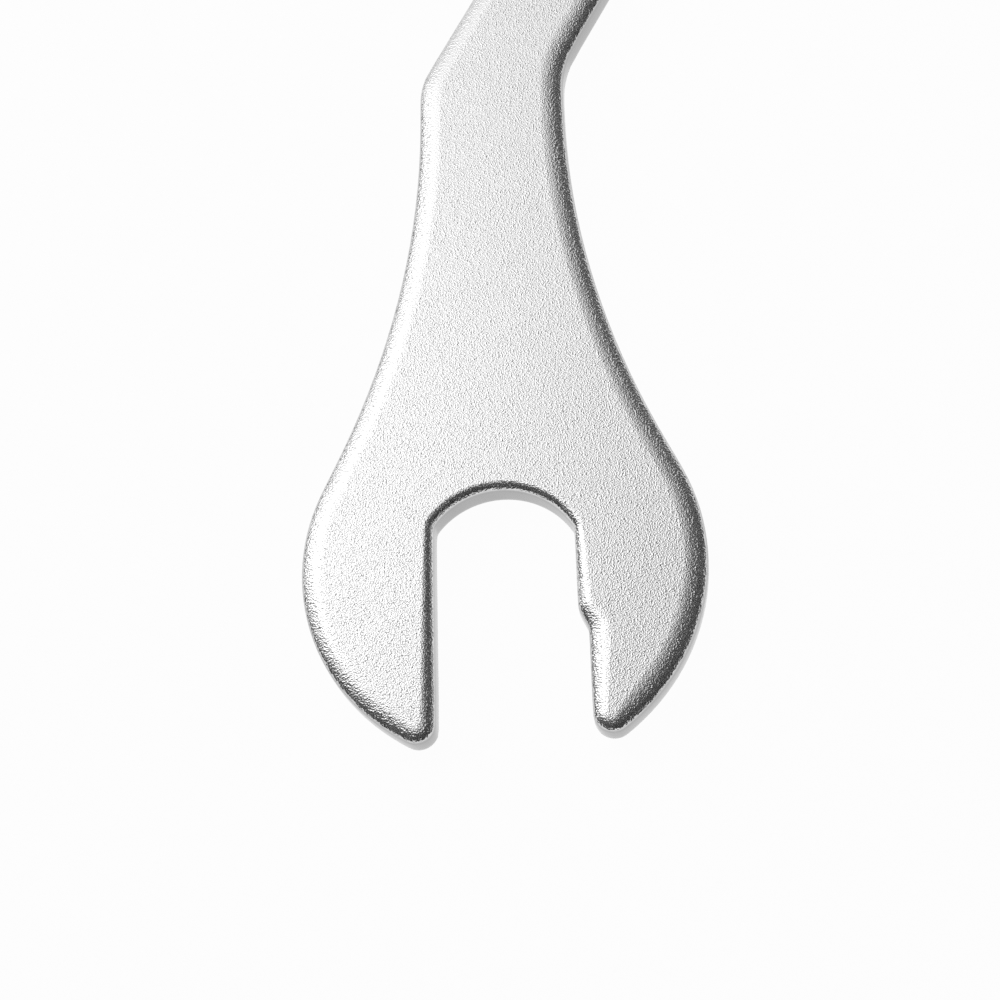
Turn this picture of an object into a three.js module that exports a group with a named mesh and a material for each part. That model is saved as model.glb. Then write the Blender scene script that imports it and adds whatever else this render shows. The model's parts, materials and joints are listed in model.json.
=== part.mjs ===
// A one-piece lockring spanner: a flat steel plate with a stepped open jaw at one end, an elbow above the
// neck, a straight handle, and at the far end a hook whose single tooth drops into the notch of a lockring.
// Millimetres, +Z up. The plate lies flat with its underside on Z = 0 and the jaw opens towards -Y.
import * as THREE from "three";

// Plate
const THICKNESS = 4;
const EDGE_WIDTH = 2.5; // how far the rounded edge reaches in over each face
const EDGE_DEPTH = 0.9; // how far it drops down the wall

// Jaw end, measured from the middle of the head on the line of the jaw
const JAW_SEAT_WIDTH = 14; // across the flats beside the crown
const JAW_STEP = 1; // how much the right flat steps back, which makes the mouth the next size up
const STEP_HEIGHT = -5; // where the right flat starts to step back
const STEP_RUN = 2.1; // length of the slope between the two flats
const STEP_RADIUS = 2;
const CROWN_HEIGHT = 7.7; // top of the jaw
const CROWN_RISE = 3.9; // how much the crown bows above the flats
const CROWN_CORNER = 1.6; // radius between the crown and each flat
const CROWN_OFFSET = -0.3; // where its middle lies beside the jaw's line
const CROWN_EDGE = 1; // width of its rounded edge, which is worn less than the rest
const HEAD_REACH_LEFT = 20.3; // from the jaw's line out to the side of the head
const HEAD_REACH_RIGHT = 20;
const HEAD_RADIUS_LEFT = 20.1;
const HEAD_RADIUS_RIGHT = 21.4;
const TIP_RADIUS = 2;

// Neck, elbow and handle
const NECK_WIDTH = 15.4; // at its narrowest
const NECK_RADIUS = 90; // hollow sweep from the neck into the head
const ELBOW_HEIGHT = 55.6; // where the handle's line leaves the jaw's line
const ELBOW_ANGLE = 30; // degrees between the two lines
const ELBOW_OUTER_RADIUS = 8;
const ELBOW_INNER_RADIUS = 11;
const HANDLE_WIDTH = 12.8;
const HANDLE_LENGTH = 98; // from the elbow to the heel that bears on the lockring

// Hook end
const HOOK_RADIUS = 23; // of the lockring that it wraps
const HOOK_SWEEP = 138; // degrees round the lockring from the heel to the tooth
const ARM_WIDTH = 10.5; // at the root of the hook
const ARM_TAPER = 2.5; // how much narrower it is behind the tooth
const FLARE_RADIUS = 22; // hollow sweep from the handle into the back of the hook
const HEEL_RADIUS = 3;
const NOSE_RADIUS = 3.5; // outer corner at the tip of the hook
const TOOTH_WIDTH = 5;
const TOOTH_HEIGHT = 2.8;
const TOOTH_CORNER = 0.8;
const TOOTH_ROOT = 0.8; // radius where the tooth leaves the hook's inside

// Facets
const CHORD_ERROR = 0.03; // most that a flat facet may stand off the true curve
const EDGE_STEPS = 5; // facets across each rounded edge
const EDGE_SHARE = 0.8; // most of a corner's radius that the rounded edge may take
const EDGE_GROWTH = 0.35; // how fast the rounded edge widens away from where it is narrow

// The outline is a closed belt pulled round a chain of circles, with the plate always on its left. An outer
// circle lies in the plate and the belt turns left round it. A hollow one lies outside and it turns right. Each
// has the width of the rounded edge beside it, which a tight outer corner limits.
const outer = (x, y, radius) => ({ x, y, radius, turn: 1, edge: Math.min(EDGE_WIDTH, EDGE_SHARE * radius) });
const hollow = (x, y, radius, edge = EDGE_WIDTH) => ({ x, y, radius, turn: -1, edge });

// The rise, over a run sideways, that puts two circle centres a given distance apart.
const rise = (distance, run) => Math.sqrt(distance ** 2 - run ** 2);

function jawSlot() {
  const half = JAW_SEAT_WIDTH / 2;
  const mouth = half + JAW_STEP;
  const crownRadius = (half ** 2 + CROWN_RISE ** 2) / (2 * CROWN_RISE);
  const crownY = CROWN_HEIGHT - crownRadius;
  const cornerX = half - CROWN_CORNER;
  const corner = (x) => {
    const y = crownY + rise(crownRadius - CROWN_CORNER, x - CROWN_OFFSET);
    return hollow(x, y, CROWN_CORNER, CROWN_EDGE);
  };
  const slope = Math.atan2(JAW_STEP, STEP_RUN);
  const easing = STEP_RADIUS * Math.tan(slope / 2);
  return [
    corner(-cornerX),
    hollow(CROWN_OFFSET, crownY, crownRadius, CROWN_EDGE),
    corner(cornerX),
    outer(half + STEP_RADIUS, STEP_HEIGHT + easing, STEP_RADIUS),
    hollow(mouth - STEP_RADIUS, STEP_HEIGHT - STEP_RUN - easing, STEP_RADIUS),
  ];
}

// One side of the head: its tip beside the jaw, its round flank, and the hollow sweep up to the neck.
function headSide(side, flat, reach, radius) {
  const flank = outer(side * (reach - radius), 0, radius);
  const tipX = side * (flat + TIP_RADIUS);
  const neckX = side * (NECK_WIDTH / 2 + NECK_RADIUS);
  const tip = outer(tipX, -rise(radius - TIP_RADIUS, tipX - flank.x), TIP_RADIUS);
  const sweep = hollow(neckX, rise(radius + NECK_RADIUS, neckX - flank.x), NECK_RADIUS);
  return [tip, flank, sweep];
}

// Handle coordinates: across to the right of the handle's line, and along it from the elbow to the hook.
const lean = THREE.MathUtils.degToRad(ELBOW_ANGLE);
const onHandle = (across, along) =>
  new THREE.Vector2(across, along)
    .rotateAround(new THREE.Vector2(), -lean)
    .add(new THREE.Vector2(0, ELBOW_HEIGHT));

// Height of an elbow circle that lies at x beside the neck and at a distance across from the handle's line.
const elbowY = (x, across) => ELBOW_HEIGHT + (x * Math.cos(lean) - across) / Math.sin(lean);

function elbowOuter() {
  const x = -NECK_WIDTH / 2 + ELBOW_OUTER_RADIUS;
  return outer(x, elbowY(x, -HANDLE_WIDTH / 2 + ELBOW_OUTER_RADIUS), ELBOW_OUTER_RADIUS);
}

function elbowInner() {
  const x = NECK_WIDTH / 2 + ELBOW_INNER_RADIUS;
  return hollow(x, elbowY(x, HANDLE_WIDTH / 2 + ELBOW_INNER_RADIUS), ELBOW_INNER_RADIUS);
}

// The hook, from its heel at the end of the handle, round the lockring to the tooth, and back outside.
function hook() {
  const ring = new THREE.Vector2(0, HANDLE_LENGTH + HOOK_RADIUS);
  const toothAngle = -Math.PI / 2 - THREE.MathUtils.degToRad(HOOK_SWEEP);
  const outward = new THREE.Vector2(Math.cos(toothAngle), Math.sin(toothAngle));
  const onward = new THREE.Vector2(outward.y, -outward.x);
  // Tooth coordinates: onward past the tooth's middle, and outward from the lockring's centre.
  const atTooth = (on, out) => ring.clone().addScaledVector(onward, on).addScaledVector(outward, out);
  const place = (make, point, radius) => {
    const { x, y } = onHandle(point.x, point.y);
    return make(x, y, radius);
  };

  const backRadius = HOOK_RADIUS + ARM_WIDTH;
  const back = atTooth(0, -ARM_TAPER);
  const heelX = HANDLE_WIDTH / 2 - HEEL_RADIUS;
  const heelY = ring.y - rise(HOOK_RADIUS + HEEL_RADIUS, heelX);
  const flareX = -HANDLE_WIDTH / 2 - FLARE_RADIUS;
  const flareY = back.y - rise(backRadius + FLARE_RADIUS, flareX - back.x);
  const half = TOOTH_WIDTH / 2;
  const rootOn = -half - TOOTH_ROOT;
  const noseOn = half - NOSE_RADIUS;
  const toothOut = HOOK_RADIUS - TOOTH_HEIGHT + TOOTH_CORNER;
  return [
    place(outer, new THREE.Vector2(heelX, heelY), HEEL_RADIUS),
    place(hollow, ring, HOOK_RADIUS),
    place(hollow, atTooth(rootOn, rise(HOOK_RADIUS - TOOTH_ROOT, rootOn)), TOOTH_ROOT),
    place(outer, atTooth(TOOTH_CORNER - half, toothOut), TOOTH_CORNER),
    place(outer, atTooth(half - TOOTH_CORNER, toothOut), TOOTH_CORNER),
    place(outer, atTooth(noseOn, rise(backRadius - NOSE_RADIUS, noseOn) - ARM_TAPER), NOSE_RADIUS),
    place(outer, back, backRadius),
    place(hollow, new THREE.Vector2(flareX, flareY), FLARE_RADIUS),
  ];
}

function outlineCircles() {
  const left = headSide(-1, JAW_SEAT_WIDTH / 2, HEAD_REACH_LEFT, HEAD_RADIUS_LEFT);
  const right = headSide(1, JAW_SEAT_WIDTH / 2 + JAW_STEP, HEAD_REACH_RIGHT, HEAD_RADIUS_RIGHT);
  const [leftTip, ...leftSide] = left;
  return [leftTip, ...jawSlot(), ...right, elbowInner(), ...hook(), elbowOuter(), ...leftSide.reverse()];
}

// The angle of the belt's outward normal on the straight run from one circle to the next.
function normalAngle(from, to) {
  const gap = Math.hypot(to.x - from.x, to.y - from.y);
  const lift = (to.radius * to.turn - from.radius * from.turn) / gap;
  const inward = Math.acos(THREE.MathUtils.clamp(lift, -1, 1));
  return Math.atan2(to.y - from.y, to.x - from.x) + inward + Math.PI;
}

// Points round the outline, each with its outward normal and the width of the rounded edge there.
function outlinePoints(circles) {
  const points = [];
  circles.forEach((circle, i) => {
    const before = circles.at(i - 1);
    const after = circles[(i + 1) % circles.length];
    const { radius, turn, edge } = circle;
    const start = normalAngle(before, circle);
    const swing = turn * (normalAngle(circle, after) - start);
    const sweep = THREE.MathUtils.euclideanModulo(swing, 2 * Math.PI);
    const steps = Math.ceil(sweep / (2 * Math.acos(1 - CHORD_ERROR / radius)));
    for (let k = 0; k <= steps; k++) {
      const angle = start + (turn * sweep * k) / steps;
      const normal = new THREE.Vector2(Math.cos(angle), Math.sin(angle));
      const place = new THREE.Vector2(circle.x, circle.y).addScaledVector(normal, turn * radius);
      points.push({ place, normal, edge });
    }
  });
  const apart = points.filter((p, i) => p.place.distanceTo(points.at(i - 1).place) > CHORD_ERROR);
  easeEdges(apart);
  return apart;
}

// Where the rounded edge is narrow, it widens steadily away from there.
function easeEdges(points) {
  const ease = (point, neighbour) => {
    const most = neighbour.edge + EDGE_GROWTH * point.place.distanceTo(neighbour.place);
    point.edge = Math.min(point.edge, most);
  };
  const last = points.length - 1;
  for (let lap = 0; lap < 2; lap++) {
    for (let i = 0; i <= last; i++) ease(points[i], points.at(i - 1));
    for (let i = last; i >= 0; i--) ease(points[i], points[(i + 1) % points.length]);
  }
}

// One level of the plate's side: part of the way round the quarter-ellipse edge from face to wall.
function levelOf(points, turned, isTop) {
  return points.map(({ place, normal, edge }) => {
    const inset = edge * (1 - Math.sin(turned));
    const drop = EDGE_DEPTH * (1 - Math.cos(turned));
    const { x, y } = place.clone().addScaledVector(normal, -inset);
    return new THREE.Vector3(x, y, isTop ? THICKNESS - drop : drop);
  });
}

function plateGeometry(points) {
  const count = points.length;
  const levels = [];
  for (let k = 0; k <= EDGE_STEPS; k++) {
    const turned = ((Math.PI / 2) * k) / EDGE_STEPS;
    levels.splice(k, 0, levelOf(points, turned, true), levelOf(points, turned, false));
  }

  const indices = [];
  for (let level = 0; level < levels.length - 1; level++) {
    for (let i = 0; i < count; i++) {
      const next = (i + 1) % count;
      const [a, b] = [level * count + i, level * count + next];
      const [c, d] = [a + count, b + count];
      indices.push(a, c, d, a, d, b);
    }
  }
  const bottom = (levels.length - 1) * count;
  const faceTop = THREE.ShapeUtils.triangulateShape(levels[0], []);
  const faceBottom = THREE.ShapeUtils.triangulateShape(levels.at(-1), []);
  for (const [a, b, c] of faceTop) indices.push(a, b, c);
  for (const [a, b, c] of faceBottom) indices.push(bottom + a, bottom + c, bottom + b);

  const geometry = new THREE.BufferGeometry().setFromPoints(levels.flat());
  geometry.setIndex(indices);
  geometry.computeVertexNormals();
  return geometry;
}

const blastedPlate = new THREE.MeshStandardMaterial({ color: 0xd9d9d9, roughness: 0.45, metalness: 1 });
const spannerBody = new THREE.Mesh(plateGeometry(outlinePoints(outlineCircles())), blastedPlate);
spannerBody.name = "spanner_body";

// The origin lies under the middle of the spanner, on the surface that it rests on.
const middle = new THREE.Box3().setFromObject(spannerBody).getCenter(new THREE.Vector3());
spannerBody.position.set(-middle.x, -middle.y, 0);

const spanner = new THREE.Group();
spanner.add(spannerBody);

export default spanner;
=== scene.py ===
# %% [markdown]
# # A blasted and plated lockring spanner
# The spanner is one steel blank: an open jaw, a neck with an elbow, a handle and a hook. Nothing on it moves
# and nothing is screwed on, so the whole lesson is about one surface: a plate with softly rounded edges, a
# bead-blasted grain under bright plating, and smooth sheared walls. The construction comes packed from the
# CAD side. It is loaded first and stays fixed, and every size below is read from it or named in millimetres.

# %% Load the frame
import json
import math

import bpy
from mathutils import Euler, Matrix, Vector

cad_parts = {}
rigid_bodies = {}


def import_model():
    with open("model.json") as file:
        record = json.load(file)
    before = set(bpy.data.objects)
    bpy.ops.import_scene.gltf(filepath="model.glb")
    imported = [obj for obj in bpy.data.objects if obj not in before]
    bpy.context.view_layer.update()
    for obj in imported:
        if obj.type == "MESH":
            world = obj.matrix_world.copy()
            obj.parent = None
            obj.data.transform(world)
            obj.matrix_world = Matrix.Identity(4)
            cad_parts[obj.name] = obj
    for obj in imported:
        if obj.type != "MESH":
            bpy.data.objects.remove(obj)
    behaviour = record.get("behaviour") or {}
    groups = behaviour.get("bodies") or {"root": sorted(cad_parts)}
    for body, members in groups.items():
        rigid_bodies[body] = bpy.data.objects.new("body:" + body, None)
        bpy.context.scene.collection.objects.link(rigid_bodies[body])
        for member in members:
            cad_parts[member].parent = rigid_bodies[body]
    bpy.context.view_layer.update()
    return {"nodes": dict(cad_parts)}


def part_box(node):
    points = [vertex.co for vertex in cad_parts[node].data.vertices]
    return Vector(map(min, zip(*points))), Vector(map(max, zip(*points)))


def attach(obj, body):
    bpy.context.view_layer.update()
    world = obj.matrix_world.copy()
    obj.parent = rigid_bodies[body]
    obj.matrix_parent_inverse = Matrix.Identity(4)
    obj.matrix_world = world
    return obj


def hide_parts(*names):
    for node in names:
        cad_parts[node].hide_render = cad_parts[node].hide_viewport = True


MM = 0.001  # Blender works in metres here

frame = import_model()
cad_low, cad_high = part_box("spanner_body")
thickness = (cad_high - cad_low).z
print(f"spanner_body: {[round(side / MM, 1) for side in cad_high - cad_low]} mm")

# %% [markdown]
# ## The blank
# The real blank is pressed out of plate, and then its edges are rolled round in a die. The CAD solid already
# has that outline and that edge, but as flat facets. It could be drawn again from circles, at the price of
# writing every size twice. A merged copy keeps one source for the sizes, so the work here is only to make it
# smooth: take off the two flat faces, let the band that is left round itself off, and close the faces again.
# Each of these steps picks its parts by where they lie, so three helpers come first.

# %% Helpers that select by place
def select_only(piece):
    bpy.ops.object.select_all(action="DESELECT")
    piece.select_set(True)
    bpy.context.view_layer.objects.active = piece


def select_parts(kind, parts, wanted):
    """Selects the vertices, edges or faces of the active mesh that pass the test, and counts them."""
    bpy.ops.object.mode_set(mode="EDIT")
    bpy.ops.mesh.select_mode(type=kind)
    bpy.ops.mesh.select_all(action="DESELECT")
    bpy.ops.object.mode_set(mode="OBJECT")
    chosen = [wanted(part) for part in parts]
    parts.foreach_set("select", chosen)
    bpy.ops.object.mode_set(mode="EDIT")
    return sum(chosen)


def apply_modifier(piece, kind, **settings):
    modifier = piece.modifiers.new(kind.title(), kind)
    for name, value in settings.items():
        setattr(modifier, name, value)
    bpy.ops.object.modifier_apply(modifier=modifier.name)


# %% [markdown]
# The solid arrives as loose triangles, each with corners of its own. Merging the corners that share a place
# turns it into one closed skin that the next steps can follow.

# %% Copy the solid and merge its loose triangles
MERGE_GAP = 0.001 * MM

plate = bpy.data.objects.new("plated_spanner", frame["nodes"]["spanner_body"].data.copy())
bpy.context.scene.collection.objects.link(plate)
plate.data.materials.clear()
select_only(plate)
bpy.ops.mesh.customdata_custom_splitnormals_clear()
bpy.ops.object.mode_set(mode="EDIT")
bpy.ops.mesh.select_mode(type="FACE")
bpy.ops.mesh.select_all(action="SELECT")
bpy.ops.mesh.remove_doubles(threshold=MERGE_GAP)
bpy.ops.object.mode_set(mode="OBJECT")
print(f"merged copy: {len(plate.data.vertices)} vertices, {len(plate.data.polygons)} triangles")

# %% [markdown]
# Smoothing works best on quads that run round the edge in rings. The folds between the rings are marked as
# seams first, so that each triangle finds its partner in its own ring. A second pass pairs what is left.

# %% Take off the two flat faces and pair the rest into quads
FLAT = 0.9999  # a face counts as flat when its normal is this near to vertical
FOLD = math.radians(6)  # neighbours that fold more than this lie on different rings of the edge

removed = select_parts("FACE", plate.data.polygons, lambda face: abs(face.normal.z) > FLAT)
bpy.ops.mesh.delete(type="FACE")
bpy.ops.mesh.select_mode(type="EDGE")
bpy.ops.mesh.select_all(action="DESELECT")
bpy.ops.mesh.edges_select_sharp(sharpness=FOLD)
bpy.ops.mesh.mark_seam()
bpy.ops.mesh.select_mode(type="FACE")
bpy.ops.mesh.select_all(action="SELECT")
for keep_seams in (True, False):
    bpy.ops.mesh.tris_convert_to_quads(face_threshold=math.pi, shape_threshold=math.pi, seam=keep_seams)
bpy.ops.object.mode_set(mode="OBJECT")
odd = sum(len(face.vertices) != 4 for face in plate.data.polygons)
print(f"took off {removed} flat triangles; {len(plate.data.polygons)} faces left, {odd} not quads")

# %% [markdown]
# One level of subdivision is enough: it halves each facet and rounds the outline between the CAD's points.
# The two open rims stay at the heights of the faces, and each is closed by one large flat face.

# %% Round the band and close the faces
SMOOTH_LEVELS = 1

apply_modifier(plate, "SUBSURF", levels=SMOOTH_LEVELS, render_levels=SMOOTH_LEVELS)
band = len(plate.data.polygons)
for level in (cad_low.z, cad_high.z):
    select_parts("VERT", plate.data.vertices, lambda vertex: abs(vertex.co.z - level) < MERGE_GAP)
    bpy.ops.mesh.edge_face_add()
bpy.ops.mesh.select_mode(type="FACE")
bpy.ops.mesh.select_all(action="SELECT")
bpy.ops.mesh.normals_make_consistent(inside=False)
bpy.ops.object.mode_set(mode="OBJECT")
print(f"{band} faces in the band, {len(plate.data.polygons) - band} faces to close it")

# %% [markdown]
# Smooth shading alone would drag the flat faces into the curve of the edge. Weighted normals give the large
# flat face the say wherever it meets a small one, so the face stays flat to where the rounding begins.

# %% Shade it
SHARP_ANGLE = math.radians(40)

bpy.ops.object.shade_smooth_by_angle(angle=SHARP_ANGLE)
apply_modifier(plate, "WEIGHTED_NORMAL", keep_sharp=True)
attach(plate, "root")
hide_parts("spanner_body")
print(f"{plate.name} rides on root in place of spanner_body")

# %% [markdown]
# ## Shader maths as expressions
# A finish is mostly arithmetic on textures. Wrapping a socket in a small class lets that arithmetic be
# written as Python expressions, and each operator adds its Math node behind the scenes.

# %% A socket that can do sums
class Wire:
    """A shader socket. Sums and products of wires and numbers add Math nodes to its tree."""

    def __init__(self, tree, socket=None):
        self.tree = tree
        self.socket = socket

    def node(self, kind, settings=None, inputs=None, output=0):
        """Adds a node, sets it up, then gives each named input its value or its link."""
        made = self.tree.nodes.new("ShaderNode" + kind)
        for name, value in (settings or {}).items():
            setattr(made, name, value)
        for name, value in (inputs or {}).items():
            if isinstance(value, Wire):
                self.tree.links.new(value.socket, made.inputs[name])
            else:
                made.inputs[name].default_value = value
        return Wire(self.tree, made.outputs[output] if made.outputs else None)

    def math(self, operation, *values):
        return self.node("Math", {"operation": operation}, dict(enumerate(values)))

    def __add__(self, other):
        return self.math("ADD", self, other)

    def __sub__(self, other):
        return self.math("SUBTRACT", self, other)

    def __rsub__(self, other):
        return self.math("SUBTRACT", other, self)

    def __mul__(self, other):
        return self.math("MULTIPLY", self, other)

    __radd__ = __add__
    __rmul__ = __mul__

    def ramp(self, start, end):
        """0 below start and 1 above end, with a soft change between them."""
        limits = {"Value": self, "From Min": start, "From Max": end}
        return self.node("MapRange", {"interpolation_type": "SMOOTHSTEP"}, limits)


def new_finish(name):
    material = bpy.data.materials.new(name)
    material.use_nodes = True
    material.node_tree.nodes.clear()
    return material, Wire(material.node_tree)


# %% [markdown]
# ## The blasted plating
# Glass beads leave the face covered in tiny round dents, about a seventh of a millimetre apart, and the
# plating then makes each of them shine. So the grain is a bump and not a colour: every dent mirrors another
# bit of the room. The squared distance to the nearest point of a Voronoi pattern is such a field of dents.
# On the rolled edge the beads strike aslant and leave larger ones. The sheared walls of the blank are too
# steep for them and stay smooth. Their colour is painted darker, up into the foot of the edge: painted shade
# for the tool's shadow on the table, which the walls mirror. Plating is never quite even, so a faint, wide
# mottle changes how bright and how rough it is from place to place.

# %% Build the plating
EDGE_DEPTH = 0.9  # mm of the wall that the rounded edge takes
FACE_DENTS_PER_MM = 7.0
FACE_DENT_DEPTH = 0.026  # mm
EDGE_DENTS_PER_MM = 5.5
EDGE_DENT_DEPTH = 0.04  # mm
FACE_BRIGHTNESS = 0.82
# painted shade: the walls' colour is darker, to stand for the table's shadow that they mirror
WALL_PAINTED_SHADE = 0.42
FACE_ROUGHNESS = 0.2
WALL_ROUGHNESS = 0.14
MOTTLES_PER_MM = 0.4
MOTTLE_DETAIL = 3.0
MOTTLE_BRIGHTNESS = 0.06
MOTTLE_ROUGHNESS = 0.08
NOISE_MIDDLE = 0.5
# the same fade lifts the walls' painted shade up to the face's colour
WALL_FADE = (0.05, 0.5)  # mm above the wall's end, where the blasting sets in
FACE_FADE = (-0.15, -0.02)  # mm above the face, where the edge's dents give way to the face's


def round_dents(wire, place, per_mm):
    """A field of bowls, 0 at the bottom of each of them."""
    distance = wire.node("TexVoronoi", inputs={"Vector": place, "Scale": per_mm}, output="Distance")
    return distance * distance


def blasted_plating_and_wall_shade():
    material, wire = new_finish("blasted_plating_and_wall_shade")
    place = wire.node("TexCoord", output="Object")
    in_mm = {0: place, "Scale": 1 / MM}
    place = wire.node("VectorMath", {"operation": "SCALE"}, in_mm)
    height = wire.node("SeparateXYZ", inputs={0: place}, output="Z")
    middle = thickness / MM / 2
    from_middle = wire.math("ABSOLUTE", height - middle)
    wall_end = middle - EDGE_DEPTH
    blasted_and_unshaded = (from_middle - wall_end).ramp(*WALL_FADE)
    flat = (from_middle - middle).ramp(*FACE_FADE)

    face_dents = FACE_DENT_DEPTH * round_dents(wire, place, FACE_DENTS_PER_MM)
    edge_dents = EDGE_DENT_DEPTH * round_dents(wire, place, EDGE_DENTS_PER_MM)
    relief = (face_dents * flat + edge_dents * (1 - flat)) * blasted_and_unshaded
    bump = wire.node("Bump", inputs={"Height": relief, "Distance": MM}, output="Normal")

    noise = {"Vector": place, "Scale": MOTTLES_PER_MM, "Detail": MOTTLE_DETAIL}
    mottle = wire.node("TexNoise", inputs=noise, output="Fac") - NOISE_MIDDLE
    # Painted shade: the walls and the foot of the rolled edge get the darker wall colour, for the shadow they
    # mirror
    brightness_and_wall_shade = WALL_PAINTED_SHADE + (FACE_BRIGHTNESS - WALL_PAINTED_SHADE) * blasted_and_unshaded
    roughness = WALL_ROUGHNESS + (FACE_ROUGHNESS - WALL_ROUGHNESS) * blasted_and_unshaded
    look = {"Metallic": 1.0, "Normal": bump}
    look["Base Color"] = brightness_and_wall_shade + MOTTLE_BRIGHTNESS * mottle
    look["Roughness"] = roughness + MOTTLE_ROUGHNESS * mottle
    surface = wire.node("BsdfPrincipled", inputs=look)
    wire.node("OutputMaterial", inputs={"Surface": surface})
    return material


plate.data.materials.append(blasted_plating_and_wall_shade())
print(f"plating has {len(plate.data.materials[0].node_tree.nodes)} nodes")

# %% [markdown]
# ## The table and the light
# The tool lies on a white table in a white tent, which gives the metal something bright to mirror. The table
# glows for the lens, so that it is white up to the edges, but less so in the metal, whose walls then show the
# tool's own shadow. It runs on to the horizon, so no low view sees where it ends.

# %% Lay the table
TABLE_SIZE = 30.0
TABLE_GLOW = 0.97  # share of the table's white that no shadow reaches
MIRRORED_GLOW = 0.9  # the same, as the metal sees it
PAPER = (0.9, 0.9, 0.9, 1)
WHITE = (1, 1, 1, 1)


def white_table():
    material, wire = new_finish("white_table")
    direct = wire.node("LightPath", output="Is Camera Ray")
    glossy = wire.node("LightPath", output="Is Glossy Ray")
    through = wire.node("LightPath", output="Is Transmission Ray")
    paper = wire.node("BsdfDiffuse", inputs={"Color": PAPER})
    glow = wire.node("Emission", inputs={"Color": WHITE, "Strength": 1.0})
    mirrored = wire.math("MAXIMUM", glossy, through)
    share = wire.math("MAXIMUM", TABLE_GLOW * direct, MIRRORED_GLOW * mirrored)
    both = wire.node("MixShader", inputs={"Fac": share, 1: paper, 2: glow})
    wire.node("OutputMaterial", inputs={"Surface": both})
    return material


bpy.ops.mesh.primitive_plane_add(size=TABLE_SIZE)
table = bpy.context.active_object
table.name = "table"
table.data.materials.append(white_table())
print(f"table {TABLE_SIZE} m wide")

# %% [markdown]
# The tent is brightest overhead and falls off towards the horizon. An even one would leave the metal the
# same white from every side, with nothing for its grain to mirror.

# %% Hang the tent
TENT_FOOT = 0.7  # brightness of the tent at the horizon, beside 1.0 overhead
TENT_FADE = (0.3, 0.72)  # sine of the elevation where it starts and stops to brighten


def white_tent():
    world = bpy.data.worlds.new("white_tent")
    world.use_nodes = True
    world.node_tree.nodes.clear()
    wire = Wire(world.node_tree)
    towards = wire.node("TexCoord", output="Generated")
    up = wire.node("SeparateXYZ", inputs={0: towards}, output="Z")
    strength = TENT_FOOT + (1 - TENT_FOOT) * up.ramp(*TENT_FADE)
    sky = wire.node("Background", inputs={"Color": WHITE, "Strength": strength})
    wire.node("OutputWorld", inputs={"Surface": sky})
    return world


bpy.context.scene.world = white_tent()
print(f"tent from {TENT_FOOT} at the horizon to 1.0 overhead")

# %% [markdown]
# What draws the edges of bright metal is what is dark. One dark card leans over the tool from the right and
# another in front, as a product photographer sets them, and they turn the edges on those sides dark. A low
# strip on the left adds the thin dark line along the bright edges there.

# %% Set the dark cards
HEAD = Vector((-19.3, -80.0, 0.0)) * MM  # the cards and the lamp are set round the middle of the jaw
CARD_COLOUR = (0.2, 0.2, 0.2, 1)


def set_round_head(azimuth, distance, height):
    """A point at that distance from the jaw, in the direction azimuth degrees round from +X."""
    angle = math.radians(azimuth)
    return HEAD + Vector((distance * math.cos(angle), distance * math.sin(angle), height))


def dark_card(name, azimuth, foot, top, width):
    """A card from its foot to its top, each a distance and a height, that only the lens can't see."""
    bpy.ops.mesh.primitive_plane_add(size=1.0)
    card = bpy.context.active_object
    card.name = name
    low = set_round_head(azimuth, *foot)
    high = set_round_head(azimuth, *top)
    rise = high - low
    across = Vector((0, 0, 1)).cross(set_round_head(azimuth, 1, 0) - HEAD)
    facing = across.cross(rise).normalized()
    turned = Matrix((across * width, rise, facing)).transposed().to_4x4()
    card.matrix_world = Matrix.Translation((low + high) / 2) @ turned
    card.visible_camera = False
    material, wire = new_finish(name)
    dark = wire.node("BsdfDiffuse", inputs={"Color": CARD_COLOUR})
    wire.node("OutputMaterial", inputs={"Surface": dark})
    card.data.materials.append(material)
    return card


cards = [
    dark_card("card_right", azimuth=-6, foot=(0.65, 0.12), top=(0.045, 0.7), width=2.4),
    dark_card("card_front", azimuth=-110, foot=(0.55, 0.01), top=(0.09, 0.7), width=2.0),
    dark_card("strip_left", azimuth=175, foot=(0.9, 0.0), top=(0.9, 0.32), width=1.6),
]
print(f"set {[card.name for card in cards]}")

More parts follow.
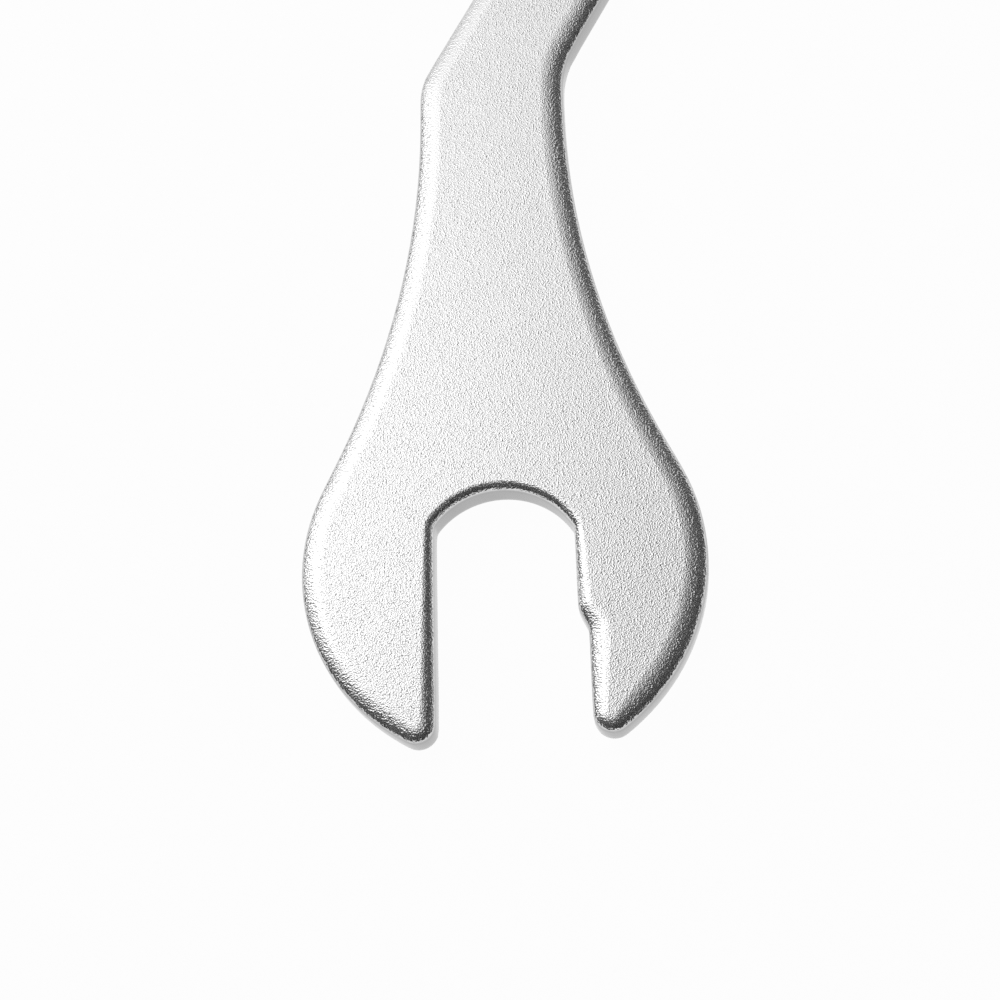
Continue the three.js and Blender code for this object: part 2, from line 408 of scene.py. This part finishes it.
# %% [markdown]
# The lamp is a soft box high on the left. It only has to lift the edges that face it to white, so it adds
# less than the tent gives.

# %% Hang the lamp
LAMP_WIDTH = 1.2
LAMP_HEIGHT = 1.3
LAMP_RADIANCE = 0.72  # on top of the tent's, which shows through it

lamp_data = bpy.data.lights.new("left_softbox", "AREA")
lamp_data.shape = "RECTANGLE"
lamp_data.size = LAMP_WIDTH
lamp_data.size_y = LAMP_HEIGHT
lamp_data.energy = LAMP_RADIANCE * math.pi * LAMP_WIDTH * LAMP_HEIGHT
lamp = bpy.data.objects.new("left_softbox", lamp_data)
lamp.location = set_round_head(azimuth=165, distance=0.8, height=0.8)
lamp.rotation_euler = (HEAD - lamp.location).to_track_quat("-Z", "Y").to_euler()
bpy.context.scene.collection.objects.link(lamp)
print(f"{lamp.name} of {lamp_data.energy:.2f} W")

# %% [markdown]
# ## The camera
# The picture is taken from close above the jaw, leaning a little towards the reader, so that the far end runs
# out of the top of the frame. Denoising is off, because it takes the plating's grain for noise.

# %% Set the camera
LENS = 79.2  # mm on the default 36 mm sensor
CLIP_START = 10 * MM
CAMERA_AZIMUTH = 14.3  # degrees round from the jaw's own line
CAMERA_ELEVATION = 68.0
CAMERA_ROLL = -17.0
CAMERA_DISTANCE = 217.7 * MM
AIM = Vector((-19.34, -79.97, 4.0)) * MM

camera_data = bpy.data.cameras.new("camera")
camera_data.lens = LENS
camera_data.clip_start = CLIP_START
camera = bpy.data.objects.new("camera", camera_data)
lean = Euler((math.radians(90 - CAMERA_ELEVATION), 0, math.radians(CAMERA_AZIMUTH)))
rolled = lean.to_matrix().to_4x4() @ Matrix.Rotation(math.radians(CAMERA_ROLL), 4, "Z")
camera.matrix_world = Matrix.Translation(AIM) @ rolled @ Matrix.Translation((0, 0, CAMERA_DISTANCE))
bpy.context.scene.collection.objects.link(camera)
bpy.context.scene.camera = camera
bpy.context.scene.view_settings.view_transform = "Standard"
bpy.context.scene.cycles.use_denoising = False
print(f"camera at {[round(c / MM, 2) for c in camera.matrix_world.translation]} mm")
